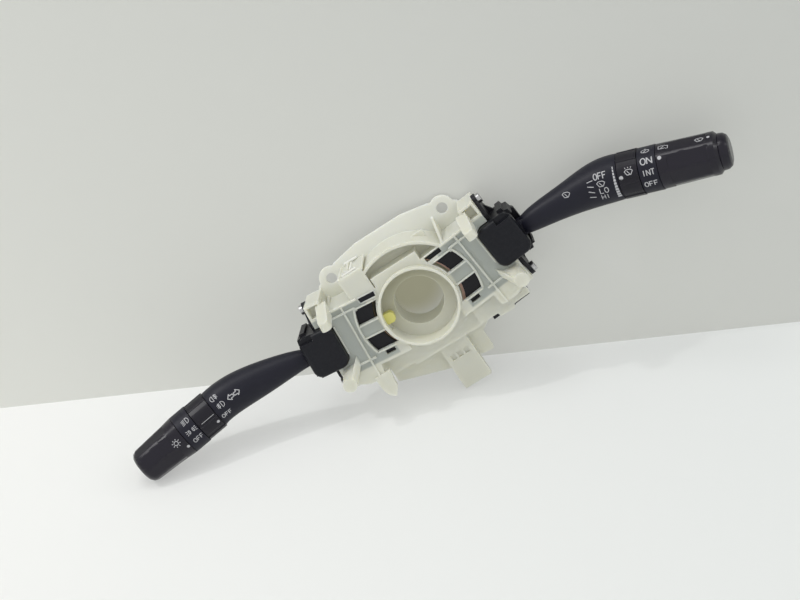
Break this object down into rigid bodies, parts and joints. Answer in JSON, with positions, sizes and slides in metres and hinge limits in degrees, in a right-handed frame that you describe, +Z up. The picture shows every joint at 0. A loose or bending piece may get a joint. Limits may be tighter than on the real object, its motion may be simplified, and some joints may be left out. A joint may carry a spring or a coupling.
{
  "type": "combination stalk switch",
  "caption": "Steering column stalk switch: a housing round the column bore with a lighting lever and a wiper lever on slide-in switch modules.",
  "frame": {"origin": "on the column bore axis, at the ledge in the cup that stops the column tube", "axes": "+X along the levers towards the wiper lever, -Y towards the driver, +Z up"},
  "size_m": [0.4187, 0.0722, 0.1215],
  "materials": {
    "housing_plastic": "satin, slightly translucent",
    "module_plastic": "satin",
    "lever_plastic": "fine grain",
    "knob_plastic": "semi-gloss",
    "pawl_plastic": "satin",
    "board_laminate": "phenolic board",
    "contact_brass": "bright",
    "steel": "plain",
    "screw_steel": "dark plated"
  },
  "bodies": {
    "housing": {"column_housing": "housing_plastic", "light_switch_case": "module_plastic", "light_front_cover": "module_plastic", "light_contact_board": "board_laminate", "light_pod_cap": "module_plastic", "light_connector": "module_plastic", "light_terminals": "contact_brass", "wiper_switch_case": "module_plastic", "wiper_front_cover": "module_plastic", "wiper_contact_board": "board_laminate", "wiper_pod_cap": "module_plastic", "wiper_connector": "module_plastic", "wiper_terminals": "contact_brass", "flange_screws": "screw_steel"},
    "cancel_pawl": {"turn_cancel_pawl": "pawl_plastic"},
    "light_bracket": {"light_lever_bracket": "module_plastic", "light_lever_pin": "steel", "light_detent_plunger": "module_plastic", "light_detent_spring": "steel"},
    "light_lever": {"light_stalk": "lever_plastic", "light_collar": "knob_plastic"},
    "fog_ring": {"fog_ring": "knob_plastic"},
    "light_knob": {"light_knob": "knob_plastic", "light_knob_shaft": "steel"},
    "wiper_bracket": {"wiper_lever_bracket": "module_plastic", "wiper_lever_pin": "steel", "wiper_detent_plunger": "module_plastic", "wiper_detent_spring": "steel"},
    "wiper_lever": {"wiper_stalk": "lever_plastic", "wiper_collar": "knob_plastic"},
    "interval_ring": {"interval_ring": "knob_plastic"},
    "rear_knob": {"rear_wiper_knob": "knob_plastic", "rear_knob_cap": "knob_plastic", "rear_knob_shaft": "steel"}
  },
  "joints": [
    {"name": "turn_signal", "type": "hinge", "parent": "housing", "child": "light_bracket", "pos_m": [-0.06968, -0.002, 0.00671], "axis": [0, 1, 0], "range_deg": [-12, 12]},
    {"name": "light_flash", "type": "hinge", "parent": "light_bracket", "child": "light_lever", "pos_m": [-0.06968, -0.002, 0.00671], "axis": [0.0958, 0, 0.9954], "range_deg": [0, 6], "stiffness_Nm_per_rad": 2, "springref_deg": -2.86},
    {"name": "fog_ring_turn", "type": "hinge", "parent": "light_lever", "child": "fog_ring", "pos_m": [-0.14916, -0.012, 0.01386], "axis": [-0.9514, -0.3007, -0.0665], "range_deg": [0, 60]},
    {"name": "light_knob_turn", "type": "hinge", "parent": "light_lever", "child": "light_knob", "pos_m": [-0.14916, -0.012, 0.01386], "axis": [-0.9514, -0.3007, -0.0665], "range_deg": [0, 60]},
    {"name": "cancel_pawl_slide", "type": "slide", "parent": "housing", "child": "cancel_pawl", "axis": [-0.9954, 0, 0.0958], "range_m": [0, 0.004], "stiffness_N_per_m": 150, "springref_m": -0.002},
    {"name": "wiper_speed", "type": "hinge", "parent": "housing", "child": "wiper_bracket", "pos_m": [0.06968, -0.002, 0.00671], "axis": [0, 1, 0], "range_deg": [-13.95, 4.65]},
    {"name": "washer_pull", "type": "hinge", "parent": "wiper_bracket", "child": "wiper_lever", "pos_m": [0.06968, -0.002, 0.00671], "axis": [-0.0663, 0, -0.9978], "range_deg": [0, 6], "stiffness_Nm_per_rad": 2, "springref_deg": -2.86},
    {"name": "interval_ring_turn", "type": "hinge", "parent": "wiper_lever", "child": "interval_ring", "pos_m": [0.14713, -0.012, 0.00197], "axis": [0.9225, -0.3007, -0.242], "range_deg": [-50, 50]},
    {"name": "rear_knob_turn", "type": "hinge", "parent": "wiper_lever", "child": "rear_knob", "pos_m": [0.14713, -0.012, 0.00197], "axis": [0.9225, -0.3007, -0.242], "range_deg": [-25, 50]}
  ]
}
